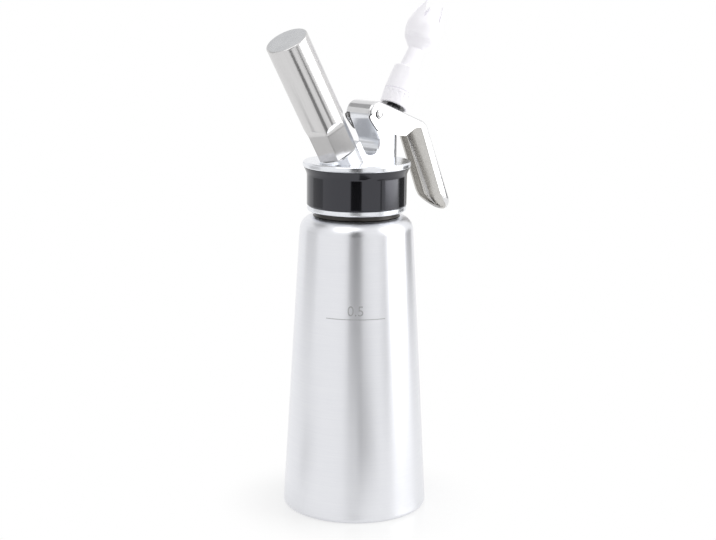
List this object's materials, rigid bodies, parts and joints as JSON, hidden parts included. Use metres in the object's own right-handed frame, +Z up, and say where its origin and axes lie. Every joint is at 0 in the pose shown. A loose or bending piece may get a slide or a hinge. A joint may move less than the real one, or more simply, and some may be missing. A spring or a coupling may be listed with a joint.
{
  "type": "whipped cream dispenser",
  "caption": "Steel cream bottle with a screwed head, a gas charger holder, a press lever and a tilted tulip nozzle.",
  "frame": {"origin": "middle of the bottle's foot, on the surface it stands on", "axes": "+Z up along the bottle's axis, +X towards the nozzle and the lever's handle, -X towards the charger holder"},
  "size_m": [0.1395, 0.0842, 0.2949],
  "materials": {
    "steel_shell": "fine satin brushed stainless sheet",
    "steel_casting": "bright satin cast stainless",
    "steel_polished": "polished turned stainless",
    "steel_pressed": "polished pressed stainless sheet",
    "spring_steel": "drawn wire",
    "zinc_plated": "plated steel",
    "brass": "turned",
    "black_silicone": "glossy moulded silicone",
    "grey_silicone": "moulded silicone",
    "black_rubber": "moulded rubber",
    "white_plastic": "moulded, slightly translucent",
    "white_plastic_tip": "moulded"
  },
  "bodies": {
    "bottle": {"bottle": "steel_shell"},
    "head_seal": {"head_gasket": "grey_silicone"},
    "head": {"head_body": "steel_casting", "grip_ring": "black_silicone", "piercing_pin": "steel_polished", "piercing_seal": "black_rubber", "inlet_valve": "grey_silicone", "valve_guide": "brass", "pivot_bush": "brass", "valve_spring": "spring_steel"},
    "charger": {"gas_charger": "zinc_plated"},
    "holder": {"charger_holder": "steel_polished"},
    "lever": {"lever": "steel_pressed", "lever_pin": "steel_polished"},
    "valve": {"valve_stem": "steel_polished", "stem_ring_lower": "black_rubber", "stem_ring_upper": "black_rubber", "valve_disc": "grey_silicone", "valve_nut": "steel_polished"},
    "nozzle_washer": {"nozzle_seal": "black_rubber"},
    "nozzle": {"nozzle_adapter": "white_plastic", "decorating_tip": "white_plastic_tip"}
  },
  "joints": [
    {"name": "head_lift", "type": "slide", "parent": "bottle", "child": "head_seal", "axis": [0, 0, 1], "range_m": [0, 0.007]},
    {"name": "head_turn", "type": "hinge", "parent": "head_seal", "child": "head", "pos_m": [0, 0, 0.19], "axis": [0, 0, 1], "range_deg": [0, 631]},
    {"name": "holder_lift", "type": "slide", "parent": "head", "child": "charger", "axis": [-0.5225, 0, 0.8526], "range_m": [0, 0.00688]},
    {"name": "holder_turn", "type": "hinge", "parent": "charger", "child": "holder", "pos_m": [-0.0106, 0, 0.2027], "axis": [-0.5225, 0, 0.8526], "range_deg": [0, 991]},
    {"name": "lever_press", "type": "hinge", "parent": "head", "child": "lever", "pos_m": [0.0074, 0, 0.2314], "axis": [0, 1, 0], "range_deg": [0, 12], "stiffness_Nm_per_rad": 0.6, "springref_deg": -28.65},
    {"name": "stem_slide", "type": "slide", "parent": "head", "child": "valve", "axis": [0.5, 0, 0.866], "range_m": [-0.0039, 0], "deforming": ["valve_spring"]},
    {"name": "nozzle_lift", "type": "slide", "parent": "valve", "child": "nozzle_washer", "axis": [0.5, 0, 0.866], "range_m": [0, 0.00413]},
    {"name": "nozzle_turn", "type": "hinge", "parent": "nozzle_washer", "child": "nozzle", "pos_m": [0.0116, 0, 0.2027], "axis": [0.5, 0, 0.866], "range_deg": [0, 991]}
  ],
  "couplings": [
    {"joint": "head_turn", "follows": "head_lift", "rad_per_m": 1570.8},
    {"joint": "holder_turn", "follows": "holder_lift", "rad_per_m": 2513.3},
    {"joint": "stem_slide", "follows": "lever_press", "m_per_rad": -0.01799},
    {"joint": "nozzle_turn", "follows": "nozzle_lift", "rad_per_m": 4188.8}
  ]
}
